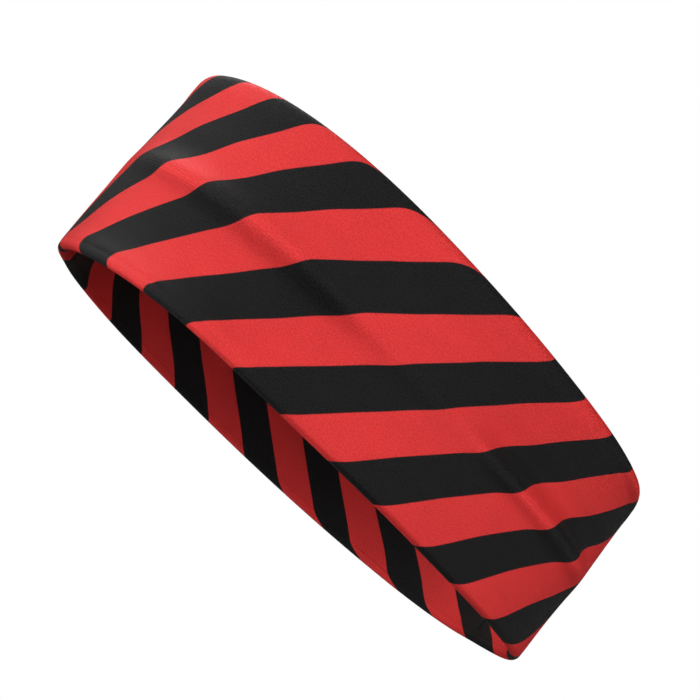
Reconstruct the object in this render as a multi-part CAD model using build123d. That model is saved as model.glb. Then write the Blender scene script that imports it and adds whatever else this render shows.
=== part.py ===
from build123d import *
import math
import os

# Sports headband: a closed loop of two sewn halves, standing on its lower edge.
# Millimetres. +Z is the loop's own axis, the front half faces -Y, and the
# origin is in the middle of the loop, on the plane that it stands on.
# "Right" is the +X side and "left" the -X side.

# ---- wall and fabric ---------------------------------------------------------
BAND_HEIGHT = 60.0  # lower edge to upper edge
WALL = 3.2  # whole wall, outer face to inner face
FACE_CLOTH = 0.7  # outer fabric
LINING_CLOTH = 0.7  # inner fabric
TURN_IN = 2.6  # how far up the inner side the outer fabric rolls
EDGE_ROUND = 1.1  # corner radius of a rolled edge; leaves a narrow flat to stand on
EDGE_ROUND_INSIDE = EDGE_ROUND - 0.9 * FACE_CLOTH  # same corner, hidden side of the cloth
EDGE_GAP = 0.5  # slot between the rolled edge and the lining, holds the edge seam
SEAM_GAP = 0.25  # each half stops this far short of the side seam

# ---- filling -----------------------------------------------------------------
PAD_THICK = 1.5  # absorbent pad in the front wall
PAD_MARGIN_Z = 6.0  # pad edge to band edge
PAD_SETBACK = 14.0  # pad end to side seam, along the wall
PAD_ROUND = 0.5

ELASTIC_WIDTH = 6.0  # flat elastics in the rear wall
ELASTIC_THICK = 1.1
ELASTIC_EDGE = 2.2  # elastic edge to band edge
ELASTIC_SETBACK = 4.0  # elastic end to side seam, along the wall
ELASTIC_ROUND = 0.3

# ---- threads -----------------------------------------------------------------
THREAD_R = 0.18
THREAD_SIDES = 8  # sides of the section of a thread that runs along the wall
EDGE_THREAD_SETBACK = 0.5  # thread end to the end of its half
SIDE_THREAD_MARGIN = WALL  # side seam thread end to band edge
CLOTH_MIDDLE = WALL / 2 - FACE_CLOTH / 2  # wall's middle to the middle of the outer fabric

# ---- care label --------------------------------------------------------------
LABEL_LENGTH = 18.0  # along the wall
LABEL_HEIGHT = 22.0
LABEL_THICK = 0.35
LABEL_Z = 12.0  # lower edge of the label
LABEL_LIFT = 0.45  # gap between the lining and the label
LABEL_ROOT = 3.0  # side seam to the label's sewn edge

STITCH_COUNT = 5
STITCH_MARGIN = 2.0  # outermost stitch to the label's lower or upper edge
STITCH_LIFT = 0.05  # gap between the lining and a stitch
STITCH_START = 0.6  # side seam to stitch
STITCH_END = 0.5  # stitch to the label's sewn edge

# ---- middle line of the wall -------------------------------------------------
# Seen from above: a soft head-shaped oval, 187 mm by 138 mm, 517 mm round.
# x and y are harmonic series in the turn u = 0 to 1, which starts at the +X end
# and goes round by -Y, -X and +Y. Each is a mean and the (cosine, sine)
# amplitudes of harmonics 1 to 6.
MEAN_X = 1.66
WAVES_X = [
    (90.37, -0.71), (-1.28, 0.27), (2.98, -0.34),
    (-0.48, 0.33), (0.12, -0.18), (0.14, 0.05),
]
MEAN_Y = 0.01
WAVES_Y = [
    (-1.43, -71.44), (-0.83, -2.0), (0.7, -3.45),
    (0.22, 1.23), (-0.41, -0.01), (0.09, -0.05),
]
# The front half runs from the right seam past -Y to the left seam; the rear half
# is the rest.
RIGHT_SEAM = -0.030  # turn, just behind the +X end
LEFT_SEAM = 0.515  # turn, just behind the -X end

SPAN_STEPS = 40  # steps taken to measure a length along the wall
PATH_POINTS_PER_TURN = 80
PATH_POINTS_MIN = 6


def series(mean, waves, u):
    """Value of a harmonic series at turn u."""
    total = mean
    for order, (cosine, sine) in enumerate(waves, start=1):
        angle = 2 * math.pi * order * u
        total += cosine * math.cos(angle) + sine * math.sin(angle)
    return total


def slope(waves, u):
    """Rate of change of a harmonic series at turn u."""
    total = 0.0
    for order, (cosine, sine) in enumerate(waves, start=1):
        rate = 2 * math.pi * order
        total += rate * (sine * math.cos(rate * u) - cosine * math.sin(rate * u))
    return total


def middle_point(u):
    """The point of the middle line at turn u, at z = 0."""
    return Vector(series(MEAN_X, WAVES_X, u), series(MEAN_Y, WAVES_Y, u), 0)


def along(u, distance):
    """The turn that lies a distance further along the wall than u."""
    for _ in range(SPAN_STEPS):
        u += distance / SPAN_STEPS / math.hypot(slope(WAVES_X, u), slope(WAVES_Y, u))
    return u


def inset(start, end, setback):
    """The span from turn start to turn end, shortened by setback at both ends."""
    return along(start, setback), along(end, -setback)


def section_plane(u):
    """Upright plane across the wall: local x points out of the loop, local y up."""
    forward = Vector(slope(WAVES_X, u), slope(WAVES_Y, u), 0).normalized()
    outward = Vector(-forward.Y, forward.X, 0)
    return Plane(origin=middle_point(u), x_dir=outward, z_dir=forward)


def wall_solid(section, start, end):
    """Sweeps a flat section (x out of the loop, y up) along the wall."""
    count = max(PATH_POINTS_MIN, int(abs(end - start) * PATH_POINTS_PER_TURN))
    path = Spline([middle_point(start + (end - start) * i / (count - 1)) for i in range(count)])
    return sweep(section_plane(start) * section, path=path).solids()[0]


# ---- sections ----------------------------------------------------------------
def rounded_face(corners):
    """Face with right-angled corners (x, y, radius), from a sharp one (radius 0)."""
    points = [Vector(x, y) for x, y, _ in corners]
    count = len(points)
    edges = []
    start = points[0]
    for i in range(1, count + 1):
        corner = points[i % count]
        radius = corners[i % count][2]
        back = (points[i - 1] - corner).normalized()
        ahead = (points[(i + 1) % count] - corner).normalized()
        entry = corner + back * radius
        edges.append(Line(start, entry))
        start = entry
        if radius > 0:
            middle = corner + (back + ahead) * (radius * (1 - math.sqrt(0.5)))
            start = corner + ahead * radius
            edges.append(ThreePointArc(entry, middle, start))
    return make_face(edges)


def rolled_section():
    """The outer fabric: up the outside, round both edges, and on to the inner side."""
    half = WALL / 2
    hidden = half - FACE_CLOTH  # half the width inside the cloth
    top = BAND_HEIGHT
    return rounded_face([
        (-half, TURN_IN, 0),
        (-half, 0, EDGE_ROUND),
        (half, 0, EDGE_ROUND),
        (half, top, EDGE_ROUND),
        (-half, top, EDGE_ROUND),
        (-half, top - TURN_IN, 0),
        (-hidden, top - TURN_IN, 0),
        (-hidden, top - FACE_CLOTH, EDGE_ROUND_INSIDE),
        (hidden, top - FACE_CLOTH, EDGE_ROUND_INSIDE),
        (hidden, FACE_CLOTH, EDGE_ROUND_INSIDE),
        (-hidden, FACE_CLOTH, EDGE_ROUND_INSIDE),
        (-hidden, TURN_IN, 0),
    ])


def strip_section(middle, thickness, bottom, height, corner_radius=0.0):
    """A flat upright strip, its middle at a given depth from the middle line."""
    if corner_radius > 0:
        strip = RectangleRounded(thickness, height, corner_radius)
    else:
        strip = Rectangle(thickness, height)
    return Pos(middle, bottom + height / 2) * strip


def thread_section(depth, z):
    return Pos(depth, z) * RegularPolygon(THREAD_R, THREAD_SIDES)


# ---- pieces ------------------------------------------------------------------
def make_lining(span):
    """Inner fabric, flush with the rolled edges."""
    bottom = TURN_IN + EDGE_GAP
    middle = -WALL / 2 + LINING_CLOTH / 2
    section = strip_section(middle, LINING_CLOTH, bottom, BAND_HEIGHT - 2 * bottom)
    return wall_solid(section, *span)


def make_pad():
    height = BAND_HEIGHT - 2 * PAD_MARGIN_Z
    section = strip_section(0, PAD_THICK, PAD_MARGIN_Z, height, PAD_ROUND)
    return wall_solid(section, *inset(RIGHT_SEAM, LEFT_SEAM, PAD_SETBACK))


def make_elastic(bottom):
    section = strip_section(0, ELASTIC_THICK, bottom, ELASTIC_WIDTH, ELASTIC_ROUND)
    return wall_solid(section, *inset(LEFT_SEAM, RIGHT_SEAM + 1.0, ELASTIC_SETBACK))


def make_edge_thread(span, z):
    """Thread in the slot between a rolled edge and the lining."""
    return wall_solid(thread_section(-CLOTH_MIDDLE, z), *inset(*span, EDGE_THREAD_SETBACK))


def make_side_thread(u):
    """Two upright threads between the halves, one outside and one inside."""
    length = BAND_HEIGHT - 2 * SIDE_THREAD_MARGIN
    cords = []
    for depth in (CLOTH_MIDDLE, -CLOTH_MIDDLE):
        foot = middle_point(u) + section_plane(u).x_dir * depth
        cord = Cylinder(THREAD_R, length, align=(Align.CENTER, Align.CENTER, Align.MIN))
        cords.append(Pos(foot.X, foot.Y, SIDE_THREAD_MARGIN) * cord)
    return Compound(children=cords)


def make_label(root):
    """Care label inside the front half, running forward from its sewn edge."""
    middle = -WALL / 2 - LABEL_LIFT - LABEL_THICK / 2
    section = strip_section(middle, LABEL_THICK, LABEL_Z, LABEL_HEIGHT)
    return wall_solid(section, root, along(root, LABEL_LENGTH))


def make_label_stitches(root):
    """Short level stitches between the right side seam and the label's sewn edge."""
    depth = -WALL / 2 - STITCH_LIFT - THREAD_R
    pitch = (LABEL_HEIGHT - 2 * STITCH_MARGIN) / (STITCH_COUNT - 1)
    start, end = along(RIGHT_SEAM, STITCH_START), along(root, -STITCH_END)
    stitches = []
    for i in range(STITCH_COUNT):
        section = thread_section(depth, LABEL_Z + STITCH_MARGIN + i * pitch)
        stitches.append(wall_solid(section, start, end))
    return Compound(children=stitches)


# ---- assembly ----------------------------------------------------------------
halves = {
    "front": inset(RIGHT_SEAM, LEFT_SEAM, SEAM_GAP),
    "rear": inset(LEFT_SEAM, RIGHT_SEAM + 1.0, SEAM_GAP),
}
slot_middle = TURN_IN + EDGE_GAP / 2
label_root = along(RIGHT_SEAM, LABEL_ROOT)

nodes = {}
for half, span in halves.items():
    nodes[f"{half}_face"] = wall_solid(rolled_section(), *span)
    nodes[f"{half}_lining"] = make_lining(span)
    nodes[f"{half}_lower_edge_thread"] = make_edge_thread(span, slot_middle)
    nodes[f"{half}_upper_edge_thread"] = make_edge_thread(span, BAND_HEIGHT - slot_middle)
nodes["front_pad"] = make_pad()
nodes["rear_lower_elastic"] = make_elastic(ELASTIC_EDGE)
nodes["rear_upper_elastic"] = make_elastic(BAND_HEIGHT - ELASTIC_EDGE - ELASTIC_WIDTH)
nodes["right_seam_thread"] = make_side_thread(RIGHT_SEAM)
nodes["left_seam_thread"] = make_side_thread(LEFT_SEAM)
nodes["care_label"] = make_label(label_root)
nodes["label_stitches"] = make_label_stitches(label_root)

os.makedirs("parts", exist_ok=True)
for name, shape in nodes.items():
    export_step(shape, f"parts/{name}.step")
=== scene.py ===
"""A striped knitted band: a closed loop of cloth that stands on its lower edge.

The loop runs round the Z axis with its front towards -Y and its rear towards +Y. Its side
seams lie near +X (right) and -X (left). The front wall holds a pad, the rear wall two flat
elastics, and a label hangs inside by the right seam. Lengths are in mm unless noted.

Points of the wall are given by three coordinates:
  turn   place round the loop, 0 near the +X end, then by -Y, -X and +Y to 1
  z      height
  depth  distance from mid-wall, positive outwards
"""
import bmesh
import bpy
import math
import numpy as np
from mathutils import Matrix, Vector


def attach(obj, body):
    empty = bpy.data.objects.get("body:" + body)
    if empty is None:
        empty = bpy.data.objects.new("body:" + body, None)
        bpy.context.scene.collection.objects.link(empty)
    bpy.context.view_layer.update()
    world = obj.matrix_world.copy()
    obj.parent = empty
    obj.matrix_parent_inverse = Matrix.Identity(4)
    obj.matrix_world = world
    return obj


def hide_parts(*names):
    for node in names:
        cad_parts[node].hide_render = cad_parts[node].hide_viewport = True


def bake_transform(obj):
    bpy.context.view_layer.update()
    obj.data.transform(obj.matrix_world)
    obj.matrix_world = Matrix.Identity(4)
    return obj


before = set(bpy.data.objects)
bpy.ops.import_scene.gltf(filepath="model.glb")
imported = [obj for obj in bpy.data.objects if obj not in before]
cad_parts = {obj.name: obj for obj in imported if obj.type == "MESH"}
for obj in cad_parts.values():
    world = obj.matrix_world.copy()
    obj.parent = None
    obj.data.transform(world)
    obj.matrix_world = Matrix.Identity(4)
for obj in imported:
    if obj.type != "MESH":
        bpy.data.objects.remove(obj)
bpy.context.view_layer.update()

# ---------------------------------------------------------------------------
# Driving dimensions
# ---------------------------------------------------------------------------
MM = 0.001
UV_UNIT = 100                     # mm, or colour bands, in one unit of a UV map

HEIGHT = 60.0
WALL = 3.2
HALF = WALL / 2
GIRTH = 518.354
CLOTH = 0.7                       # thickness of the outer fabric and of the lining
TURN_IN = 2.6                     # how far the outer fabric comes back inside each edge
SEAM_RIGHT = -0.0165              # turns
SEAM_LEFT = 0.5290

REPEATS = 15                      # colour repeats round the loop
BAND_WIDTH = GIRTH / REPEATS / 2  # a repeat is one red and one black band
BAND_SLOPE = 0.932887             # tangent of the bands' angle to the edge
BAND_PHASE = -7.8545
BAND_ORIGIN = 0.25 * GIRTH
BAND_AT_ORIGIN = 7

# ---------------------------------------------------------------------------
# Measured shape of the cloth
# ---------------------------------------------------------------------------
# Edge curves of the wall: control points x, y, z at equal turns
UPPER = np.array([
    [93.59, 5.8, 59.7], [92.65, -17.96, 60.17], [83.1, -39.59, 59.6], [66.3, -55.91, 59.47],
    [44.96, -66, 60.83], [21.96, -69.19, 61.53], [-1.06, -66.88, 61.09], [-24.01, -62.28, 61.05],
    [-46.58, -56.56, 60.7], [-69.09, -48.09, 60.45], [-86.49, -31.73, 59.82], [-94.8, -9.07, 59.33],
    [-92.81, 14.78, 59.83], [-80.3, 35.8, 60.51], [-62.07, 51.15, 60.48], [-40.46, 61.41, 60.39],
    [-17.25, 67.36, 60.08], [6.36, 69.55, 59.6], [30.08, 67.99, 59.15], [53.36, 61.4, 59.04],
    [72.88, 47.78, 58.77], [86.61, 28.44, 58.94],
])
LOWER = np.array([
    [95.66, 5.79, -0.59], [94.99, -18.33, -1.06], [84.12, -39.88, -1.01], [67.1, -55.77, -0.2],
    [46.09, -65.7, 0.8], [22.52, -69.01, 1.36], [-0.88, -67.09, 0.74], [-23.99, -62.86, 0.2],
    [-46.54, -57.14, -0.46], [-68.91, -48.32, -0.38], [-86.28, -31.72, -0.18], [-94.55, -8.9, -0.25],
    [-92.33, 15.11, -0.07], [-80.05, 35.95, 0.23], [-61.76, 51.3, 0.24], [-40.15, 61.54, 0.31],
    [-17.01, 67.53, 0.28], [6.72, 69.88, 0.16], [30.61, 68.43, 0.05], [53.77, 61.69, 0.06],
    [73.18, 47.85, -0.29], [87.35, 28.47, -0.49],
])
# Relief of the front wall, outwards, in hundredths of a mm: rows run along the wall,
# columns from the upper edge to the lower edge. The wall was folded along its middle,
# which leaves a long soft crease with a hollow above it.
RELIEF = np.array([
    [37, 62, 108, 150, 168, 177, 180, 171, 163, 158, 152, 138, 117, 87, 51, 27, 15],
    [-70, -66, -54, -29, -4, 23, 45, 59, 70, 67, 52, 43, 35, 21, 11, 19, 26],
    [-149, -187, -238, -232, -191, -147, -108, -60, -19, -21, -49, -54, -51, -47, -28, 10, 36],
    [-181, -272, -415, -447, -403, -346, -289, -190, -104, -94, -131, -135, -126, -102, -51, 2, 32],
    [-186, -288, -460, -570, -561, -504, -432, -281, -157, -121, -136, -131, -113, -78, -28, 3, 13],
    [-169, -245, -375, -488, -512, -481, -426, -287, -167, -107, -89, -75, -53, -23, 3, 0, -10],
    [-133, -179, -262, -349, -379, -366, -333, -240, -152, -90, -55, -36, -15, 4, 10, -6, -20],
    [-88, -112, -158, -213, -238, -234, -218, -168, -120, -83, -57, -39, -19, 0, 6, -5, -14],
    [-43, -51, -73, -110, -130, -129, -117, -93, -78, -74, -76, -67, -50, -24, -1, 3, 2],
    [-9, -9, -21, -58, -80, -74, -57, -33, -33, -58, -91, -96, -88, -57, -15, 7, 15],
    [2, 4, -6, -47, -72, -62, -37, 1, 5, -31, -84, -103, -107, -84, -35, 1, 18],
    [-18, -11, -16, -50, -68, -56, -30, 12, 26, 0, -48, -71, -86, -78, -40, -4, 17],
    [-44, -38, -37, -50, -51, -35, -13, 17, 32, 24, 2, -13, -27, -33, -21, -5, 5],
    [-73, -69, -62, -51, -32, -13, 6, 25, 40, 47, 49, 45, 36, 23, 7, -1, -4],
    [-106, -98, -80, -51, -21, 5, 24, 42, 59, 76, 91, 90, 83, 64, 34, 10, -2],
    [-140, -125, -95, -50, -11, 20, 43, 63, 85, 109, 130, 131, 123, 99, 58, 25, 7],
]) / 100
RELIEF_FROM, RELIEF_TO = -0.04, 0.55      # turns
RELIEF_KNOTS_ALONG = np.linspace(0, 1, 16)
# -1 at the upper edge, 1 at the lower edge
RELIEF_KNOTS_ACROSS = [-1.0, -0.8, -0.6, -0.42, -0.28, -0.17, -0.08, 0.0,
                       0.08, 0.17, 0.28, 0.42, 0.6, 0.8, 1.0]
# Local stretch of the cloth along the wall: a mean, then cosine and sine of each harmonic
STRETCH = [0.691, -0.12, -1.672, -0.117, -0.298, 0.22, -0.657, 0.5,
           -0.157, 0.251, 0.176, 0.146, 0.038, -0.107, 0.087]
# Fine drape of the bands, in thousandths of one band, over the turn (rows) and the height
# from the lower edge (columns): the cloth is stretched unevenly where it was folded.
DRAPE = np.array([
    [829, 712, 541, 275, -3, -112, -79, -113, -149, -97, -16, 95, 262, 471],
    [792, 728, 611, 328, -23, -121, -34, -136, -204, -134, -74, 32, 233, 470],
    [689, 625, 557, 343, 48, -53, 25, -120, -145, -80, -64, 21, 211, 435],
    [553, 430, 384, 306, 103, -6, 88, -50, -77, -12, 31, 106, 239, 411],
    [412, 254, 223, 215, 74, 11, 82, -32, -47, 51, 122, 178, 257, 363],
    [321, 130, 71, 94, 25, -15, 16, 8, 54, 130, 177, 207, 249, 300],
    [287, 60, -16, 5, -54, -79, -13, 68, 108, 143, 174, 189, 204, 209],
    [289, 4, -112, -85, -92, -80, -29, 48, 80, 100, 108, 107, 106, 90],
    [342, 43, -127, -107, -76, -49, -29, 22, 44, 39, 26, 22, 16, -6],
    [325, 71, -80, -66, -38, -5, 8, 12, 6, -5, -15, -13, -18, -40],
    [215, 56, -13, 0, 11, 25, 16, -5, -3, 5, -2, -4, -10, -31],
    [91, 51, 53, 49, 24, 18, 14, 4, 13, 15, 2, 8, 7, -12],
    [-2, 48, 82, 48, 1, 28, 30, 3, 17, 23, 19, 26, 19, -5],
    [-41, 34, 54, 13, -15, 45, 20, -14, 20, 35, 38, 40, 29, 1],
    [-85, -28, -9, -25, -19, 64, 33, -14, 18, 28, 35, 54, 59, 36],
    [-108, -71, -46, -42, -14, 80, 16, -47, 17, 37, 61, 106, 116, 84],
    [-100, -53, -7, 5, 31, 117, 38, 10, 82, 130, 185, 205, 158, 74],
    [-71, 3, 83, 117, 164, 218, 168, 181, 214, 276, 305, 231, 106, -15],
    [-28, 59, 143, 197, 234, 212, 188, 249, 276, 285, 220, 79, -55, -146],
    [20, 100, 173, 223, 237, 213, 212, 251, 249, 176, 27, -125, -213, -245],
    [61, 126, 182, 220, 230, 223, 226, 230, 191, 66, -131, -263, -289, -261],
    [92, 140, 181, 210, 222, 224, 219, 198, 142, 26, -132, -213, -211, -187],
    [109, 144, 176, 200, 214, 216, 201, 163, 107, 36, -33, -69, -79, -114],
    [114, 142, 168, 191, 206, 207, 184, 134, 72, 30, 26, 19, -11, -115],
    [112, 136, 160, 182, 198, 200, 177, 120, 35, -11, -2, 11, -43, -218],
    [104, 128, 152, 174, 190, 195, 179, 127, 24, -40, -47, -21, -92, -332],
    [93, 120, 145, 168, 184, 188, 176, 134, 33, -22, -34, -26, -96, -320],
    [82, 112, 140, 164, 179, 181, 161, 103, 22, -3, -31, -41, -97, -278],
    [73, 106, 137, 163, 178, 177, 152, 102, 44, 15, -21, -33, -73, -217],
    [67, 103, 137, 165, 182, 180, 158, 121, 70, 21, -8, -20, -35, -100],
    [69, 106, 141, 171, 190, 193, 173, 130, 72, 12, -21, -30, -26, -36],
    [81, 116, 149, 179, 202, 211, 203, 169, 86, 2, -34, -38, -30, -41],
    [108, 135, 162, 188, 212, 227, 223, 177, 72, 0, -27, -24, -13, -24],
    [155, 166, 180, 196, 216, 232, 231, 188, 104, 21, -15, -11, -4, -27],
    [225, 212, 203, 201, 209, 221, 229, 220, 167, 49, -9, -3, 2, -17],
    [320, 272, 232, 204, 192, 193, 204, 213, 187, 110, 56, 42, 40, 43],
    [437, 347, 268, 207, 167, 149, 152, 174, 198, 194, 135, 97, 87, 85],
    [567, 436, 313, 211, 136, 91, 80, 104, 147, 165, 142, 132, 137, 148],
    [693, 534, 372, 220, 98, 23, -1, 17, 51, 80, 111, 151, 191, 261],
    [790, 634, 450, 238, 51, -49, -66, -62, -54, -15, 57, 145, 243, 393],
]) / 1000
DRAPE_KNOTS_Z = [0.0, 2.5, 6.0, 12.0, 20.0, 30.0, 40.0, 48.0, 52.0, 54.5, 57.0, 60.0]


# ---------------------------------------------------------------------------
# Curves
# ---------------------------------------------------------------------------
def periodic(turn, controls):
    """Closed uniform cubic B-spline through rows of control values."""
    count = len(controls)
    place = np.mod(turn, 1.0) * count
    i = np.floor(place).astype(int)
    f = place - i
    weights = np.stack([
        (1 - f) ** 3,
        3 * f**3 - 6 * f**2 + 4,
        -3 * f**3 + 3 * f**2 + 3 * f + 1,
        f**3,
    ], -1) / 6
    return sum(weights[:, j, None] * controls[(i + j - 1) % count] for j in range(4))


def clamped(places, inner_knots):
    """Cubic B-spline basis on clamped knots, one row for each place."""
    knots = np.array([inner_knots[0]] * 3 + list(inner_knots) + [inner_knots[-1]] * 3, float)
    x = np.clip(places, knots[0], knots[-1] - 1e-9)[:, None]
    basis = ((x >= knots[None, :-1]) & (x < knots[None, 1:])).astype(float)
    for degree in range(1, 4):
        left = knots[degree:-1] - knots[: -1 - degree]
        right = knots[degree + 1 :] - knots[1:-degree]
        rise = np.where(left > 0, (x - knots[: -1 - degree]) / np.where(left > 0, left, 1), 0)
        fall = np.where(right > 0, (knots[degree + 1 :] - x) / np.where(right > 0, right, 1), 0)
        basis = rise * basis[:, :-1] + fall * basis[:, 1:]
    return basis


def smooth(x, start, end):
    """0 before start, 1 after end, eased between."""
    t = np.clip((x - start) / (end - start), 0, 1)
    return t * t * (3 - 2 * t)


def window(x, rise, fall):
    """Eases from 0 to 1 over the range rise, and back to 0 over the range fall."""
    return smooth(x, *rise) * (1 - smooth(x, *fall))


def bell(x, centre, width):
    return np.exp(-(((x - centre) / width) ** 2))


def wrap(turn):
    """The same turn between -0.2 and 0.8, so that the front is in one run."""
    return np.mod(turn + 0.2, 1.0) - 0.2


# ---------------------------------------------------------------------------
# Wall surface
# ---------------------------------------------------------------------------
def level_normal(turn):
    """Outward unit normals of the loop, seen from above."""
    step = 1e-3
    middle = UPPER + LOWER
    tangent = periodic(turn + step, middle) - periodic(turn, middle)
    normal = np.stack([-tangent[:, 1], tangent[:, 0], 0 * tangent[:, 0]], -1)
    return normal / np.linalg.norm(normal, axis=1)[:, None]


def crease(turn):
    """How strongly the cloth is pinched along the middle of the front."""
    r = wrap(turn)
    strength = window(r, rise=(0.02, 0.07), fall=(0.41, 0.45))
    # weaker over the middle of the front, stronger towards -X
    strength = strength * (1 - 0.70 * window(r, rise=(0.165, 0.225), fall=(0.275, 0.32)))
    return strength * (1.12 + 0.75 * smooth(r, 0.28, 0.34))


def relief(r, share):
    """Measured relief at wrapped turn r and share of the height."""
    t = (r - RELIEF_FROM) / (RELIEF_TO - RELIEF_FROM)
    inside = (t > 0) & (t < 1)
    along = clamped(t, RELIEF_KNOTS_ALONG)[:, 1:-1]
    across = clamped(1 - 2 * np.clip(share, 0, 1), RELIEF_KNOTS_ACROSS)
    return np.einsum("ij,jk,ik->i", along, RELIEF, across) * inside


def wall(turn, z):
    """Mid-wall points."""
    # both edges are drawn in slightly
    drawn_z = z - 0.28 * smooth(z, 56.5, 60.0) - 0.04 * (1 - smooth(z, 0.0, 3.0))
    share = drawn_z / HEIGHT
    points = periodic(turn, UPPER) * share[:, None] + periodic(turn, LOWER) * (1 - share[:, None])
    r = wrap(turn)
    out = relief(r, share)
    # the outer face of the front, and not its middle, lies on the relief,
    # except along the lower edge, which flares out a little
    front = window(r, rise=(-0.075, -0.03), fall=(0.53, 0.58))
    left = smooth(r, 0.34, 0.42)
    reach = (1 - left) * (1 - smooth(z, 3.0, 15.0)) + left * (1 - smooth(z, 0.0, 4.5))
    flare = window(r, rise=(0.005, 0.05), fall=(0.405, 0.455)) * reach
    out = out - HALF * front * (1 - 0.8 * flare)
    # the ends of the loop are pulled in where the wall turns to the rear
    out = out - 0.60 * window(r, rise=(-0.12, -0.05), fall=(0.0, 0.05))
    out = out - 1.15 * window(r, rise=(0.36, 0.44), fall=(0.455, 0.50)) * (1 - 0.8 * flare)
    # a pinched ridge along the middle of the front, a hollow below it and a sag above it
    pinch = 0.75 * bell(z, centre=30.0, width=2.6) - 0.80 * bell(z, centre=22.0, width=5.0)
    sag = 0.55 * bell(z, centre=45.5, width=6.0)
    out = out + crease(turn) * pinch - window(r, rise=(0.05, 0.10), fall=(0.38, 0.43)) * sag
    return points + level_normal(turn) * out[:, None]


def cloth(turn, z, depth):
    """Points in mm for broadcast turns, heights and depths; z may run into the rolled edges."""
    arrays = [np.asarray(a, float) for a in (turn, z, depth)]
    turn, z, depth = np.broadcast_arrays(*arrays)
    shape = turn.shape
    turn, z, depth = turn.ravel(), z.ravel(), depth.ravel()
    # the normal is held steady close to the edges
    held_z = np.clip(z, 1.5, HEIGHT - 1.5)
    turn_step, z_step = 2e-4, 0.15
    along = wall(turn + turn_step, held_z) - wall(turn - turn_step, held_z)
    up = wall(turn, held_z + z_step) - wall(turn, held_z - z_step)
    normal = np.cross(up, along)
    normal /= np.linalg.norm(normal, axis=1)[:, None]
    return (wall(turn, z) + normal * depth[:, None]).reshape(shape + (3,))


def bands(turn, z):
    """Colour coordinate: red where its whole part is even, black where odd."""
    turn, z = np.broadcast_arrays(np.asarray(turn, float), np.asarray(z, float))
    warp = STRETCH[0]
    for m in range(1, 8):
        angle = 2 * np.pi * m * turn
        warp = warp + STRETCH[2 * m - 1] * np.cos(angle) + STRETCH[2 * m] * np.sin(angle)
    slant = (HEIGHT / 2 - z) / BAND_SLOPE
    along = turn * GIRTH - BAND_ORIGIN - BAND_PHASE - slant - warp
    plain = along / BAND_WIDTH + BAND_AT_ORIGIN
    rows = periodic(turn.ravel(), DRAPE)
    cols = clamped(np.clip(z.ravel(), 0, HEIGHT), DRAPE_KNOTS_Z)
    drape = (rows * cols).sum(1).reshape(turn.shape)
    # the cloth is gathered where the upper edge turns over at the right end
    r = wrap(turn)
    tuck = -0.36 * window(r, rise=(-0.085, -0.040), fall=(-0.009, -0.004))
    tuck = tuck * (1 - 0.35 * smooth(r, -0.03, -0.01))
    tuck = tuck + 0.50 * window(r, rise=(-0.009, -0.004), fall=(-0.004, 0.045))
    return plain - drape + tuck * smooth(z, 49.0, 58.0)


# ---------------------------------------------------------------------------
# Mesh building
# ---------------------------------------------------------------------------
def link(obj):
    bpy.context.scene.collection.objects.link(obj)
    return obj


def loop_turns():
    """Turns round the loop, closer together at the side seams."""
    start, end = SEAM_RIGHT, SEAM_RIGHT + 1
    fine = 9.0 / GIRTH
    marks = [start, start + fine, SEAM_LEFT - fine, SEAM_LEFT + fine, end - fine, end]
    counts = [30, 236, 60, 196, 30]
    return np.concatenate([
        np.linspace(a, b, count, endpoint=False)
        for a, b, count in zip(marks[:-1], marks[1:], counts)
    ])


def stack_rows(rows, turns):
    """Turns a list of (z, depth) rows into two arrays, rows x turns."""
    z = np.array([np.full(len(turns), z) for z, _ in rows])
    depth = np.array([np.broadcast_to(depth, len(turns)) for _, depth in rows])
    return z, depth


def sweep_mesh(name, turns, section):
    """Runs a closed section, z and depth as rows x turns, round the whole loop."""
    z, depth = section
    rows, cols = z.shape
    verts = cloth(turns, z, depth).reshape(-1, 3) * MM
    i, j = np.meshgrid(np.arange(rows), np.arange(cols), indexing="ij")
    i2, k = (i + 1) % rows, (j + 1) % cols
    corners = [i * cols + j, i2 * cols + j, i2 * cols + k, i * cols + k]
    faces = np.stack(corners, -1).reshape(-1, 4)
    me = bpy.data.meshes.new(name)
    me.vertices.add(len(verts))
    me.vertices.foreach_set("co", verts.ravel())
    me.loops.add(len(faces) * 4)
    me.loops.foreach_set("vertex_index", faces.ravel())
    me.polygons.add(len(faces))
    me.polygons.foreach_set("loop_start", np.arange(0, len(faces) * 4, 4))
    me.update(calc_edges=True)
    me.validate()

    # one more column than there are vertices, so that the colours close
    uv_z = np.concatenate([z, z[:, :1]], 1)
    uv_turn = np.broadcast_to(np.append(turns, turns[0] + 1), uv_z.shape)
    band = bands(uv_turn, uv_z)

    def at_corners(a):
        return np.stack([a[i, j], a[i2, j], a[i2, j + 1], a[i, j + 1]], -1).reshape(-1)

    layers = (
        ("cloth", at_corners(uv_turn) * GIRTH, at_corners(uv_z)),
        ("band", at_corners(band), 0 * at_corners(band)),
    )
    for layer_name, u, v in layers:
        layer = me.uv_layers.new(name=layer_name)
        uv = np.stack([u, v], -1) / UV_UNIT
        layer.data.foreach_set("uv", uv.astype(np.float32).ravel())
    me.polygons.foreach_set("use_smooth", np.ones(len(faces), bool))
    return link(bpy.data.objects.new(name, me))


def mesh_from(name, verts, faces):
    """A smooth-shaded object from points in metres."""
    me = bpy.data.meshes.new(name)
    me.from_pydata([tuple(v) for v in verts], [], [tuple(f) for f in faces])
    me.polygons.foreach_set("use_smooth", np.ones(len(faces), bool))
    me.update()
    bm = bmesh.new()
    bm.from_mesh(me)
    bmesh.ops.recalc_face_normals(bm, faces=bm.faces)
    bm.to_mesh(me)
    bm.free()
    return link(bpy.data.objects.new(name, me))


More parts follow.
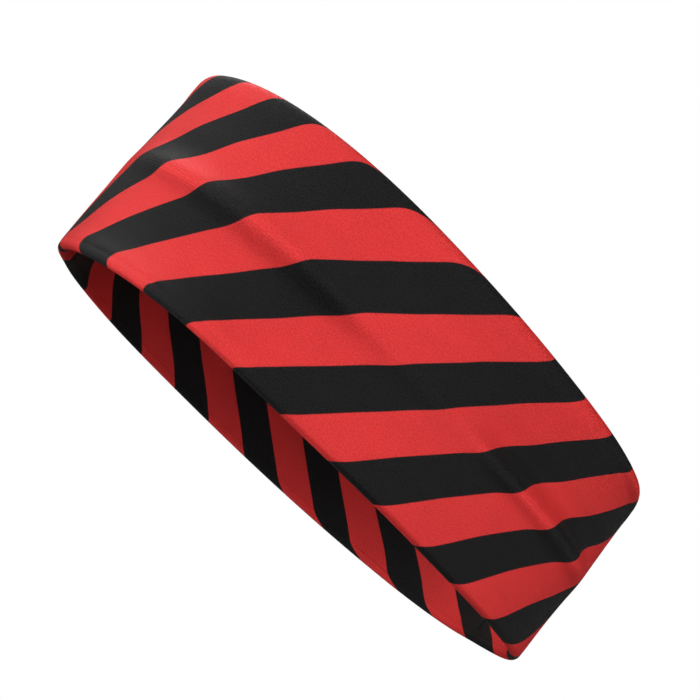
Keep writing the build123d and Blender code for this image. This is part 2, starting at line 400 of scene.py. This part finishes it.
def add_uv(obj, name, u, v):
    """A UV map from one value of u and v for each vertex."""
    layer = obj.data.uv_layers.new(name=name)
    index = np.zeros(len(obj.data.loops), int)
    obj.data.loops.foreach_get("vertex_index", index)
    uv = np.stack([u[index], v[index]], 1) / UV_UNIT
    layer.data.foreach_set("uv", uv.astype(np.float32).ravel())


def strip_outline(count):
    """(side, share of the width) round a flat strip: up its outer side, down its inner."""
    share = np.linspace(0, 1, count)
    return [(1, t) for t in share[:-1]] + [(-1, t) for t in share[:0:-1]]


def strip_mesh(name, turns, section):
    """A closed strip along part of the wall, capped at both ends."""
    z, depth = section
    rows, cols = z.shape
    points = cloth(turns, z, depth) * MM
    verts = list(points.reshape(-1, 3))
    faces = []
    for j in range(cols - 1):
        for i in range(rows):
            k = (i + 1) % rows
            faces.append((i * cols + j, k * cols + j, k * cols + j + 1, i * cols + j + 1))
    for j in (0, cols - 1):
        centre = len(verts)
        verts.append(points[:, j].mean(0))
        for i in range(rows):
            faces.append((centre, i * cols + j, ((i + 1) % rows) * cols + j))
    obj = mesh_from(name, verts, faces)
    vert_turn = np.append(np.broadcast_to(turns, z.shape).ravel(), [turns[0], turns[-1]])
    vert_z = np.append(z.ravel(), [z[:, 0].mean(), z[:, -1].mean()])
    add_uv(obj, "cloth", vert_turn * GIRTH, vert_z)
    return obj


def tubes(name, paths, radius, sides, tint=None):
    """Round threads along paths in mm, thinner at both ends. tint gives each path's
    band coordinate."""
    verts, faces = [], []
    for path in paths:
        tangent = np.gradient(path, axis=0)
        tangent /= np.linalg.norm(tangent, axis=1)[:, None]
        reference = [0.0, 0.0, 1.0] if abs(tangent[0, 2]) < 0.8 else [1.0, 0.0, 0.0]
        across = np.cross(tangent, np.array(reference))
        across /= np.linalg.norm(across, axis=1)[:, None]
        other = np.cross(tangent, across)
        last, base = len(path) - 1, len(verts)
        for i in range(last + 1):
            r = radius * (0.55 if i in (0, last) else 1.0)
            for k in range(sides):
                angle = 2 * math.pi * k / sides
                offset = math.cos(angle) * across[i] + math.sin(angle) * other[i]
                verts.append((path[i] + r * offset) * MM)
        for i in range(last):
            ring, after = base + i * sides, base + (i + 1) * sides
            for k in range(sides):
                q = (k + 1) % sides
                faces.append((ring + k, ring + q, after + q, after + k))
        faces.append(tuple(base + k for k in reversed(range(sides))))
        faces.append(tuple(base + last * sides + k for k in range(sides)))
    obj = mesh_from(name, verts, faces)
    if tint is not None:
        u = np.concatenate([np.full(len(path) * sides, t) for path, t in zip(paths, tint)])
        add_uv(obj, "band", u, 0 * u)
    return obj


# ---------------------------------------------------------------------------
# Materials
# ---------------------------------------------------------------------------
RED = (0.76, 0.030, 0.030, 1)
BLACK = (0.0026, 0.0026, 0.0028, 1)


class Shader:
    """A Principled material and short calls for the nodes that feed it."""

    def __init__(self, name):
        self.mat = bpy.data.materials.new(name)
        self.mat.use_nodes = True
        self.tree = self.mat.node_tree
        self.tree.nodes.clear()
        output = self.new("ShaderNodeOutputMaterial")
        self.bsdf = self.new("ShaderNodeBsdfPrincipled")
        self.tree.links.new(self.bsdf.outputs[0], output.inputs[0])

    def new(self, kind, **props):
        node = self.tree.nodes.new(kind)
        for key, value in props.items():
            setattr(node, key, value)
        return node

    def put(self, node, **inputs):
        """Links or sets inputs by name, with _ for a space."""
        for key, value in inputs.items():
            self.feed(node.inputs[key.replace("_", " ")], value)
        return node

    def feed(self, socket, value):
        if isinstance(value, bpy.types.NodeSocket):
            self.tree.links.new(value, socket)
        else:
            socket.default_value = value

    def set(self, name, value):
        self.feed(self.bsdf.inputs[name], value)

    def calc(self, operation, a, b=0.0, c=0.0):
        node = self.new("ShaderNodeMath", operation=operation)
        for socket, value in zip(node.inputs, (a, b, c)):
            self.feed(socket, value)
        return node.outputs[0]

    def add(self, a, b):
        return self.calc("ADD", a, b)

    def sub(self, a, b):
        return self.calc("SUBTRACT", a, b)

    def mul(self, a, b):
        return self.calc("MULTIPLY", a, b)

    def vary(self, noise, amount):
        """Noise about zero, amount wide."""
        return self.mul(self.sub(noise, 0.5), amount)

    def mix(self, factor, a, b):
        node = self.new("ShaderNodeMix", data_type="RGBA")
        # 6 and 7 are the colour inputs, 2 the colour output
        for i, value in ((0, factor), (6, a), (7, b)):
            self.feed(node.inputs[i], value)
        return node.outputs[2]

    def uv(self, layer, axes="XY"):
        """Coordinates of a UV map, in mm or in bands."""
        uv_map = self.new("ShaderNodeUVMap", uv_map=layer)
        split = self.new("ShaderNodeSeparateXYZ")
        self.tree.links.new(uv_map.outputs[0], split.inputs[0])
        return [self.mul(split.outputs[axis], UV_UNIT) for axis in axes]

    def xy(self, x, y):
        return self.put(self.new("ShaderNodeCombineXYZ"), X=x, Y=y).outputs[0]

    def position_mm(self):
        coordinates = self.new("ShaderNodeTexCoord")
        scaled = self.new("ShaderNodeVectorMath", operation="SCALE")
        self.feed(scaled.inputs[0], coordinates.outputs["Object"])
        self.put(scaled, Scale=1 / MM)
        return scaled.outputs[0]

    def noise(self, place, scale, detail=2.0, roughness=0.5):
        node = self.new("ShaderNodeTexNoise")
        self.put(node, Vector=place, Scale=scale, Detail=detail, Roughness=roughness)
        return node.outputs["Fac"]

    def wave(self, place, direction, scale, distortion):
        node = self.new("ShaderNodeTexWave", wave_type="BANDS", bands_direction=direction)
        self.put(node, Vector=place, Scale=scale, Distortion=distortion)
        return node.outputs["Fac"]

    def ramp(self, x, start, end):
        node = self.new("ShaderNodeMapRange", interpolation_type="SMOOTHSTEP")
        for i, value in enumerate((x, start, end)):
            self.feed(node.inputs[i], value)
        return node.outputs[0]

    def bump(self, height, strength, distance):
        """Bumps the surface; distance is in metres."""
        node = self.new("ShaderNodeBump")
        self.put(node, Height=height, Strength=strength, Distance=distance)
        self.set("Normal", node.outputs[0])


def knit_height(shader, x, y, wale, course):
    """Loops of a fine knit, wale wide and course high."""
    across = shader.calc("FRACT", shader.mul(x, 1 / wale))
    off_centre = shader.calc("ABSOLUTE", shader.sub(across, 0.5))
    ridge = shader.calc("COSINE", shader.mul(across, 4 * math.pi))
    up = shader.add(shader.mul(y, 1 / course), shader.mul(off_centre, 1.3))
    loops = shader.calc("COSINE", shader.mul(up, 2 * math.pi))
    return shader.add(shader.mul(ridge, -0.25), shader.mul(loops, 0.35))


def striped_cloth(name, brightness, roughness, sheen):
    shader = Shader(name)
    add, sub, mul = shader.add, shader.sub, shader.mul
    x, y = shader.uv("cloth")
    band = shader.uv("band", "X")[0]
    place = shader.xy(x, y)

    # share of a repeat: 0..0.5 is red, 0.5..1 is black, with a narrow bleed between
    fray = shader.vary(shader.noise(place, scale=1.4, detail=1), 0.010)
    share = shader.calc("FRACT", mul(add(band, fray), 0.5))
    bleed = 0.0055
    into_black = shader.ramp(share, 0.5 - bleed, 0.5 + bleed)
    past_start = shader.ramp(share, 0.0, bleed)
    near_end = shader.ramp(share, 1 - bleed, 1.0)
    dark = mul(into_black, sub(1.0, mul(near_end, 0.5)))
    dark = shader.calc("MAXIMUM", dark, mul(sub(1.0, past_start), 0.5))

    # broad and fine changes of tone
    broad = shader.noise(place, scale=0.05, detail=3, roughness=0.55)
    grain = shader.noise(place, scale=2.2, detail=2, roughness=0.6)
    tone = add(shader.vary(broad, 0.22), shader.vary(grain, 0.55))
    tone = add(tone, brightness)
    toned = shader.new("ShaderNodeHueSaturation")
    shader.put(toned, Value=tone, Color=shader.mix(dark, RED, BLACK))
    shader.set("Base Color", toned.outputs[0])

    # the red yarn shines more than the black
    shader.set("Roughness", add(shader.vary(grain, 0.10), roughness))
    shader.set("Metallic", mul(sub(1.0, dark), 0.5))
    gloss = shader.calc("MULTIPLY_ADD", dark, -0.33, 0.5)
    shader.set("Specular IOR Level", mul(gloss, shader.calc("MULTIPLY_ADD", grain, 2.4, -0.2)))
    shader.set("Sheen Weight", sheen)
    shader.set("Sheen Roughness", 0.42)
    shader.set("Sheen Tint", shader.mix(dark, (1.0, 0.30, 0.28, 1), (0.9, 0.9, 0.85, 1)))

    knit = mul(knit_height(shader, x, y, wale=0.62, course=0.50), 0.8)
    shader.bump(add(knit, mul(grain, 1.2)), strength=0.9, distance=0.00008)
    return shader.mat


def thread_material(name, shades=None):
    """Twisted thread, flecked with two shades. Without shades it is dyed with the bands
    that it crosses."""
    shader = Shader(name)
    place = shader.position_mm()
    fleck = shader.noise(place, scale=3.0)
    if shades is None:
        band = shader.uv("band", "X")[0]
        share = shader.calc("FRACT", shader.mul(band, 0.5))
        dark = shader.calc("GREATER_THAN", share, 0.5)
        shades = (
            shader.mix(dark, (0.68, 0.026, 0.026, 1), (0.003, 0.003, 0.003, 1)),
            shader.mix(dark, RED, (0.004, 0.004, 0.004, 1)),
        )
        shader.set("Metallic", shader.mul(shader.sub(1.0, dark), 0.5))
        shader.set("Specular IOR Level", shader.calc("MULTIPLY_ADD", dark, -0.36, 0.5))
    shader.set("Base Color", shader.mix(shader.ramp(fleck, 0.35, 0.7), *shades))
    shader.set("Roughness", 0.5)
    shader.set("Sheen Weight", 0.05)
    twist = shader.wave(place, "DIAGONAL", scale=2.4, distortion=0.6)
    shader.bump(twist, strength=0.5, distance=0.00005)
    return shader.mat


def pad_material():
    shader = Shader("absorbent_pad")
    place = shader.xy(*shader.uv("cloth"))
    fibre = shader.noise(place, scale=2.6, detail=4, roughness=0.7)
    cloud = shader.ramp(shader.noise(place, scale=0.12, detail=3), 0.3, 0.7)
    shader.set("Base Color", shader.mix(cloud, (0.66, 0.64, 0.60, 1), (0.76, 0.75, 0.71, 1)))
    shader.set("Roughness", 0.95)
    shader.set("Sheen Weight", 0.4)
    shader.bump(fibre, strength=0.8, distance=0.0002)
    return shader.mat


def elastic_material():
    shader = Shader("elastic")
    x, y = shader.uv("cloth")
    rib_pitch = 1.2
    rib = shader.calc("COSINE", shader.mul(x, 2 * math.pi / rib_pitch))
    fray = shader.noise(shader.xy(x, y), scale=2.5, detail=3)
    wear = shader.ramp(fray, 0.3, 0.8)
    shader.set("Base Color", shader.mix(wear, (0.05, 0.05, 0.05, 1), (0.09, 0.09, 0.09, 1)))
    shader.set("Roughness", 0.7)
    shader.bump(shader.add(rib, fray), strength=0.5, distance=0.0001)
    return shader.mat


def label_material():
    shader = Shader("label_tape")
    place = shader.position_mm()
    weave = shader.wave(place, "Z", scale=1.3, distortion=0.3)
    cloud = shader.noise(place, scale=0.18, detail=3)
    tone = shader.ramp(cloud, 0.3, 0.75)
    shader.set("Base Color", shader.mix(tone, (0.70, 0.69, 0.66, 1), (0.80, 0.79, 0.77, 1)))
    shader.set("Roughness", shader.add(shader.mul(cloud, 0.15), 0.32))
    shader.set("Sheen Weight", 0.2)
    height = shader.add(weave, shader.noise(place, scale=3.0))
    shader.bump(height, strength=0.35, distance=0.00006)
    return shader.mat


face_mat = striped_cloth("striped_knit", brightness=1.0, roughness=0.54, sheen=0.06)
# the lining is the same knit painted 6% darker: painted shade for the inside of the loop
lining_mat = striped_cloth("striped_lining", brightness=0.94, roughness=0.58, sheen=0.05)

# ---------------------------------------------------------------------------
# Outer fabric: up the outside, round both edges, a short way down the inside
# ---------------------------------------------------------------------------
UPPER_ROLL, LOWER_ROLL = 2.1, 2.4     # heights of the rolls on the outer side of the cloth
BACK_ROLL = 2.4                       # height of both rolls on its back
ROLL_ROWS, BACK_ROLL_ROWS = 13, 7


def seam_shape(turn):
    """Depth change beside the side seams: a narrow groove and a soft swell."""
    out = 0
    for seam in (SEAM_RIGHT, SEAM_LEFT):
        away = (np.mod(turn - seam + 0.5, 1.0) - 0.5) * GIRTH
        groove = 0.62 * bell(away, centre=0, width=0.45)
        swell = 0.22 * bell(np.abs(away), centre=2.1, width=1.3)
        out = out - groove + swell
    return out


def outer_depth(z, turn):
    """Depth of the outer surface."""
    # the rolled edges stand out most on the front, next to the right seam
    strength = 0.12 + 0.88 * window(wrap(turn), rise=(0.0, 0.05), fall=(0.15, 0.36))
    upper = 0.14 * bell(z, centre=55.4, width=1.7) - 0.24 * bell(z, centre=57.7, width=0.9)
    lower = 0.10 * bell(z, centre=4.5, width=1.8)
    between_rolls = window(z, rise=(1.0, 3.5), fall=(56.5, 59.0))
    return HALF + strength * upper + lower + seam_shape(turn) * between_rolls


def half_circle(count):
    """(cosine, sine) from 0 to 180 degrees."""
    angles = [math.pi * i / (count - 1) for i in range(count)]
    return [(math.cos(a), math.sin(a)) for a in angles]


def face_section(turns):
    top_z, bottom_z = HEIGHT - UPPER_ROLL, LOWER_ROLL
    outer_z = np.concatenate([
        np.linspace(top_z, 52.0, 17, endpoint=False),
        np.linspace(52.0, 37.0, 14, endpoint=False),
        np.linspace(37.0, 21.0, 30, endpoint=False),
        np.linspace(21.0, 9.0, 10, endpoint=False),
        np.linspace(9.0, bottom_z, 14),
    ])
    top, bottom = outer_depth(top_z, turns), outer_depth(bottom_z, turns)
    # inner side of the upper roll, then over the top
    rows = [(HEIGHT - TURN_IN, -HALF + 0.04), (HEIGHT - TURN_IN + 0.12, -HALF)]
    for c, s in half_circle(ROLL_ROWS):
        rows.append((top_z + s * UPPER_ROLL, -c * (HALF if c > 0 else top)))
    # down the outside
    for z in outer_z[1:-1]:
        rows.append((z, outer_depth(z, turns)))
    # under the lower edge and up its inner side
    for c, s in half_circle(ROLL_ROWS):
        rows.append((bottom_z - s * LOWER_ROLL, c * (HALF if c < 0 else bottom)))
    rows += [(TURN_IN - 0.12, -HALF), (TURN_IN, -HALF + 0.04)]
    # back of the cloth, inside the wall
    rows.append((TURN_IN, -HALF + CLOTH))
    for c, s in half_circle(BACK_ROLL_ROWS):
        rows.append((BACK_ROLL - s * (BACK_ROLL - CLOTH), -c * (HALF - CLOTH)))
    for z in np.linspace(5.0, HEIGHT - 5.0, 26):
        rows.append((z, outer_depth(z, turns) - CLOTH))
    for c, s in half_circle(BACK_ROLL_ROWS):
        rows.append((HEIGHT - BACK_ROLL + s * (BACK_ROLL - CLOTH), c * (HALF - CLOTH)))
    rows.append((HEIGHT - TURN_IN, -HALF + CLOTH))
    return stack_rows(rows, turns)


LOOP = loop_turns()
band_face = sweep_mesh("band_face", LOOP, face_section(LOOP))
band_face.data.materials.append(face_mat)
band_face.data.flip_normals()

# ---------------------------------------------------------------------------
# Lining, flush with the rolled edges
# ---------------------------------------------------------------------------
LINING_GAP = 0.03                     # between the lining and the turned-in fabric
LINING_SEAM = 0.8                     # seam relief of the lining, as a share of the outside's


def lining_section(turns):
    low, high = TURN_IN + LINING_GAP, HEIGHT - TURN_IN - LINING_GAP
    seams = seam_shape(turns) * LINING_SEAM
    face_z = np.concatenate([
        [low + 0.14],
        np.linspace(low + 0.5, 26, 18, endpoint=False),
        np.linspace(26, 34, 12, endpoint=False),
        np.linspace(34, high - 0.5, 18),
        [high - 0.14],
    ])
    rows = [(low, -HALF + 0.05)]
    for z in face_z:
        inset = window(z, rise=(low, low + 1.5), fall=(high - 1.5, high))
        rows.append((z, -HALF - seams * inset))
    rows.append((high, -HALF + 0.05))
    # back of the lining, inside the wall
    for z in [high, *np.linspace(high - 1.5, low + 1.5, 16), low]:
        rows.append((z, -HALF + CLOTH))
    return stack_rows(rows, turns)


band_lining = sweep_mesh("band_lining", LOOP, lining_section(LOOP))
band_lining.data.materials.append(lining_mat)

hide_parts("front_face", "rear_face")
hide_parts("front_lining", "rear_lining")

# ---------------------------------------------------------------------------
# Absorbent pad inside the front wall: a quilted strip
# ---------------------------------------------------------------------------
PAD_END_GAP = 14.0                    # from each side seam
PAD_MARGIN = 6.4                      # from each edge of the band
PAD_HEIGHT = HEIGHT - 2 * PAD_MARGIN
PAD_HALF = 0.60                       # half its thickness
PAD_ROUNDING = 1.6
QUILT_DEPTH, QUILT_PITCH = 0.16, 16


def pad_section(turns):
    along = turns * GIRTH
    start, end = along[0], along[-1]
    fullness = window(along, rise=(start, start + 1.5), fall=(end - 1.5, end))
    rows = []
    for side, share in strip_outline(34):
        z = PAD_MARGIN + PAD_HEIGHT * share
        edge = min(share, 1 - share) * PAD_HEIGHT
        half = PAD_HALF * min(1.0, math.sqrt(edge / PAD_ROUNDING))
        rising = np.abs(np.sin(math.pi * (along + z) / QUILT_PITCH))
        falling = np.abs(np.sin(math.pi * (along - z) / QUILT_PITCH))
        quilt = QUILT_DEPTH * (rising * falling) ** 0.5
        depth = (half - QUILT_DEPTH + quilt) * (0.35 + 0.65 * fullness)
        rows.append((z, side * np.maximum(depth, 0.08)))
    return stack_rows(rows, turns)


pad_turns = np.linspace(SEAM_RIGHT + PAD_END_GAP / GIRTH, SEAM_LEFT - PAD_END_GAP / GIRTH, 330)
front_pad = strip_mesh("absorbent_pad", pad_turns, pad_section(pad_turns))
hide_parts("front_pad")

# ---------------------------------------------------------------------------
# Flat elastics inside the rear wall: corded along their length
# ---------------------------------------------------------------------------
ELASTIC_END_GAP = 4.0                 # from each side seam
ELASTIC_MARGIN = 2.2                  # from the edge of the band
ELASTIC_WIDTH = 6.0
ELASTIC_HALF = 0.55                   # half its thickness
ELASTIC_ROUNDING = 0.4
CORDS, CORD_DEPTH = 6, 0.10
PICK_PITCH, PICK_DEPTH = 2.4, 0.03    # cross threads


def elastic_section(turns, low_z):
    pick = PICK_DEPTH * np.sin(2 * math.pi * turns * GIRTH / PICK_PITCH)
    rows = []
    for side, share in strip_outline(25):
        edge = min(share, 1 - share) * ELASTIC_WIDTH
        half = ELASTIC_HALF * min(1.0, math.sqrt(edge / ELASTIC_ROUNDING))
        cord = CORD_DEPTH * abs(math.cos(math.pi * share * CORDS)) - CORD_DEPTH
        rows.append((low_z + ELASTIC_WIDTH * share, side * np.maximum(half + cord + pick, 0.07)))
    return stack_rows(rows, turns)


elastic_turns = np.linspace(
    SEAM_LEFT + ELASTIC_END_GAP / GIRTH, SEAM_RIGHT + 1 - ELASTIC_END_GAP / GIRTH, 300)
elastics = []
for name, low_z in (
    ("rear_lower_elastic", ELASTIC_MARGIN),
    ("rear_upper_elastic", HEIGHT - ELASTIC_MARGIN - ELASTIC_WIDTH),
):
    tape = strip_mesh(name + "_tape", elastic_turns, elastic_section(elastic_turns, low_z))
    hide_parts(name)
    elastics.append(tape)

# ---------------------------------------------------------------------------
# Edge seams: a fine cover stitch that ties the rolled edge to the lining
# ---------------------------------------------------------------------------
EDGE_STITCH_PITCH = 2.6
EDGE_STITCH_SINK = 0.20               # how far the ends of a stitch sink into the cloth


def edge_seam(name, joint_z, to_lining):
    """Slanted stitches over the joint at joint_z; to_lining is 1 up or -1 down."""
    roll_z, lining_z = joint_z - 0.35 * to_lining, joint_z + 0.65 * to_lining
    t = np.linspace(0, 1, 5)
    z = roll_z + (lining_z - roll_z) * t
    depth = -HALF - 0.02 + EDGE_STITCH_SINK * (1 - np.sin(math.pi * t))
    paths, tint = [], []
    count = int(GIRTH / EDGE_STITCH_PITCH)
    for i in range(count):
        start = SEAM_RIGHT + (i + 0.12) / count
        end = SEAM_RIGHT + (i + 0.88) / count
        paths.append(cloth(start + (end - start) * t, z, depth))
        tint.append(float(bands(0.5 * (start + end), 0.5 * (roll_z + lining_z))))
    return tubes(name, paths, radius=0.07, sides=6, tint=tint)


upper_stitch = edge_seam("upper_edge_stitching", HEIGHT - TURN_IN, to_lining=-1)
lower_stitch = edge_seam("lower_edge_stitching", TURN_IN, to_lining=1)
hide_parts("front_upper_edge_thread", "rear_upper_edge_thread")
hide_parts("front_lower_edge_thread", "rear_lower_edge_thread")

# ---------------------------------------------------------------------------
# Side seams: short stitches across the groove, outside and inside
# ---------------------------------------------------------------------------
SIDE_STITCH_PITCH = 1.9
SIDE_STITCH_HALF = 0.75               # half its length along the wall
SIDE_STITCH_RISE = 0.45               # rise over that half
SIDE_STITCH_LIFT, SIDE_STITCH_SINK = 0.06, 0.20
SIDE_STITCH_RANGE = 0.25              # greatest change of depth along a stitch


def side_seam(name, seam):
    paths, tint = [], []
    t = np.linspace(-1, 1, 7)
    turns = seam + SIDE_STITCH_HALF / GIRTH * t
    lift = SIDE_STITCH_LIFT - SIDE_STITCH_SINK * np.abs(t) ** 3
    for outside, margin in ((True, 3.4), (False, 4.2)):
        low, high = margin, HEIGHT - margin
        count = int((high - low) / SIDE_STITCH_PITCH)
        for i in range(count):
            z = low + (high - low) * (i + 0.5) / count
            if outside:
                depth = outer_depth(z, turns) + lift
                depth = np.maximum(depth, depth.max() - SIDE_STITCH_RANGE)
            else:
                depth = -HALF - LINING_SEAM * seam_shape(turns) - lift
                depth = np.minimum(depth, depth.min() + SIDE_STITCH_RANGE)
            paths.append(cloth(turns, z + SIDE_STITCH_RISE * t, depth))
            tint.append(float(bands(seam, z)))
    return tubes(name, paths, radius=0.14, sides=6, tint=tint)


right_seam = side_seam("right_seam_stitching", SEAM_RIGHT)
left_seam = side_seam("left_seam_stitching", SEAM_LEFT)
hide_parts("right_seam_thread")
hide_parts("left_seam_thread")
seam_threads = (upper_stitch, lower_stitch, right_seam, left_seam)

# ---------------------------------------------------------------------------
# Care label: a blank satin tape inside the wall, thicker at its free edge,
# sewn at its root
# ---------------------------------------------------------------------------
LABEL_ROOT = SEAM_RIGHT + 3.0 / GIRTH
LABEL_LENGTH, LABEL_HEIGHT, LABEL_Z = 18.0, 22.0, 12.0
LABEL_DEPTH = -HALF - 0.58
LABEL_BEND = 3.0                      # run from the label's root to a second point on it
LABEL_COLS, LABEL_ROWS = 40, 45


def label_mesh():
    x, z = np.meshgrid(
        np.linspace(0, LABEL_LENGTH, LABEL_COLS), np.linspace(0, LABEL_HEIGHT, LABEL_ROWS))
    turns = LABEL_ROOT + x / GIRTH
    # lie of the tape: it curls away from the wall and waves a little
    curl = 0.55 * (x / LABEL_LENGTH) ** 2 * (0.7 + 0.3 * np.sin(z / LABEL_HEIGHT * 3.0 + 0.6))
    wave = 0.10 * np.sin(x / 3.1 + 0.8) * np.sin(z / 4.3)
    middle = LABEL_DEPTH - curl - wave * smooth(x, 1.0, 5.0)
    # half thickness, with selvedges and a thicker free edge
    selvedge = 0.05 * (1 - smooth(np.minimum(z, LABEL_HEIGHT - z), 0.9, 1.3))
    free_edge = 0.05 * smooth(x, LABEL_LENGTH - 1.2, LABEL_LENGTH - 0.2)
    half = 0.10 + selvedge + free_edge
    root_crease = 0.07 * bell(x, centre=1.6, width=0.25)
    away_side = cloth(turns, LABEL_Z + z, middle - half + root_crease)
    wall_side = cloth(turns, LABEL_Z + z, middle + half)
    verts = np.concatenate([away_side.reshape(-1, 3), wall_side.reshape(-1, 3)]) * MM
    cols, rows = LABEL_COLS, LABEL_ROWS
    back = cols * rows
    faces = []
    for j in range(rows - 1):
        for i in range(cols - 1):
            a = j * cols + i
            faces.append((a, a + 1, a + cols + 1, a + cols))
            faces.append((back + a, back + a + cols, back + a + cols + 1, back + a + 1))
    # the rim that joins both sides
    ring = list(range(cols)) + [j * cols + cols - 1 for j in range(1, rows)]
    ring += [(rows - 1) * cols + i for i in reversed(range(cols - 1))]
    ring += [j * cols for j in reversed(range(1, rows - 1))]
    for a, b in zip(ring, ring[1:] + ring[:1]):
        faces.append((a, back + a, back + b, b))
    return mesh_from("care_label_tape", verts, faces)


def label_stitches():
    """Five stitches from the lining over the root of the label."""
    t = np.linspace(0, 1, 9)
    turns = SEAM_RIGHT + (0.9 + 2.7 * t) / GIRTH
    climb = 0.72 * smooth(t, 0.45, 0.8) * (1 - 0.7 * smooth(t, 0.88, 1.0))
    paths = []
    for i in range(5):
        z = LABEL_Z + 2.0 + i * 4.5 + 0.25 * np.sin(6 * t)
        paths.append(cloth(turns, z, -HALF - 0.06 - climb))
    return tubes("label_stitching", paths, radius=0.11, sides=8)


label = label_mesh()
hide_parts("care_label")
label_stitch = label_stitches()
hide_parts("label_stitches")

# ---------------------------------------------------------------------------
# Materials of the small pieces
# ---------------------------------------------------------------------------
for material, pieces in (
    (thread_material("thread_dark"), seam_threads),
    (thread_material("thread_light", ((0.62, 0.60, 0.56, 1), (0.74, 0.72, 0.68, 1))),
     [label_stitch]),
    (pad_material(), [front_pad]),
    (elastic_material(), elastics),
    (label_material(), [label]),
):
    for piece in pieces:
        piece.data.materials.append(material)

# ---------------------------------------------------------------------------
# What each piece moves with (places in metres)
# ---------------------------------------------------------------------------
for piece in (band_face, band_lining, *elastics, *seam_threads):
    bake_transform(piece)
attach(front_pad, "front")
# two points on the middle of the label, at its root and LABEL_BEND along it; the label is baked
# where it hangs
bend_start, bend_end = [
    tuple(cloth(LABEL_ROOT + run / GIRTH, LABEL_Z + LABEL_HEIGHT / 2, LABEL_DEPTH) * MM)
    for run in (0.0, LABEL_BEND)
]
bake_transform(label)
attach(label_stitch, "front")

# ---------------------------------------------------------------------------
# Floor, world, camera and lights (metres)
# ---------------------------------------------------------------------------
FLOOR_HALF = 6.0
FLOOR_Z = -0.0014
AMBIENT = 0.01                        # world strength for all but camera rays

# The camera is rolled: its own right and up are both far from level
EYE = Vector((111.4456, -314.6624, 100.3372)) * MM
FORWARD = Vector((-0.301752, 0.925011, -0.230870)).normalized()
RIGHT = Vector((-0.666983, -0.377853, -0.642154)).normalized()
UP = Vector((0.681234, 0.039785, -0.730984)).normalized()

LIGHT_TARGET = Vector((0, -0.02, 0.03))
# Soft discs: name, then offset from the target along the camera's right, its up and
# towards the camera, diameter, power in watts
LIGHTS = [
    ("key", -1.27, 0.92, 0.33, 0.95, 12.2),
    ("top", -0.48, 1.49, 0.33, 0.95, 5.6),
    ("front", 0.60, 0.0, 1.48, 0.95, 8.8),
    ("front_top", 0.19, 0.57, 1.48, 0.95, 5.4),
    ("right", 1.13, -0.48, 1.03, 0.95, 5.0),
    ("rim_right", 1.20, 0.98, 0.33, 0.85, 5.6),
    ("low_left", -1.27, -0.92, 0.33, 0.95, 7.4),
    ("low_right", 1.27, -0.92, 0.33, 0.95, 3.4),
    ("top_rear", -0.25, 1.40, -0.75, 0.95, 8.0),
]


def floor_material():
    """Pure white to the camera, a light grey diffuse to other rays."""
    mat = bpy.data.materials.new("floor")
    mat.use_nodes = True
    tree = mat.node_tree
    tree.nodes.clear()
    output = tree.nodes.new("ShaderNodeOutputMaterial")
    mix = tree.nodes.new("ShaderNodeMixShader")
    rays = tree.nodes.new("ShaderNodeLightPath")
    diffuse = tree.nodes.new("ShaderNodeBsdfDiffuse")
    diffuse.inputs["Color"].default_value = (0.86, 0.86, 0.86, 1)
    glow = tree.nodes.new("ShaderNodeEmission")
    glow.inputs["Color"].default_value = (1, 1, 1, 1)
    glow.inputs["Strength"].default_value = 1.0
    tree.links.new(rays.outputs["Is Camera Ray"], mix.inputs[0])
    tree.links.new(diffuse.outputs[0], mix.inputs[1])
    tree.links.new(glow.outputs[0], mix.inputs[2])
    tree.links.new(mix.outputs[0], output.inputs[0])
    return mat


def make_floor():
    mat = floor_material()
    me = bpy.data.meshes.new("floor")
    signs = ((-1, -1), (1, -1), (1, 1), (-1, 1))
    corners = [(x * FLOOR_HALF, y * FLOOR_HALF, FLOOR_Z) for x, y in signs]
    me.from_pydata(corners, [], [(0, 1, 2, 3)])
    floor = link(bpy.data.objects.new("floor", me))
    me.materials.append(mat)
    floor.visible_shadow = False
    floor.visible_diffuse = False
    floor.visible_glossy = False


def make_world():
    """White to the camera, nearly dark to other rays."""
    world = bpy.data.worlds.new("studio")
    bpy.context.scene.world = world
    world.use_nodes = True
    tree = world.node_tree
    tree.nodes.clear()
    output = tree.nodes.new("ShaderNodeOutputWorld")
    background = tree.nodes.new("ShaderNodeBackground")
    rays = tree.nodes.new("ShaderNodeLightPath")
    strength = tree.nodes.new("ShaderNodeMath")
    strength.operation = "MULTIPLY_ADD"
    strength.inputs[1].default_value = 1.0 - AMBIENT
    strength.inputs[2].default_value = AMBIENT
    background.inputs["Color"].default_value = (1, 1, 1, 1)
    tree.links.new(rays.outputs["Is Camera Ray"], strength.inputs[0])
    tree.links.new(strength.outputs[0], background.inputs["Strength"])
    tree.links.new(background.outputs[0], output.inputs[0])


def make_camera():
    data = bpy.data.cameras.new("camera")
    data.lens = 58.073
    data.sensor_width = 36
    data.clip_start = 0.01
    data.clip_end = 50
    camera = link(bpy.data.objects.new("camera", data))
    rotation = Matrix((RIGHT, UP, -FORWARD)).transposed().to_4x4()
    camera.matrix_world = Matrix.Translation(EYE) @ rotation
    bpy.context.scene.camera = camera


def make_light(name, right, up, back, size, power):
    offset = RIGHT * right + UP * up - FORWARD * back
    data = bpy.data.lights.new(name, "AREA")
    data.shape = "DISK"
    data.size = size
    data.energy = power
    light = link(bpy.data.objects.new(name, data))
    light.location = LIGHT_TARGET + offset
    light.rotation_euler = (-offset).to_track_quat("-Z", "Y").to_euler()


make_floor()
make_world()
make_camera()
for entry in LIGHTS:
    make_light(*entry)

view = bpy.context.scene.view_settings
view.view_transform = "Standard"
view.look = "None"
view.exposure = 0
view.gamma = 1
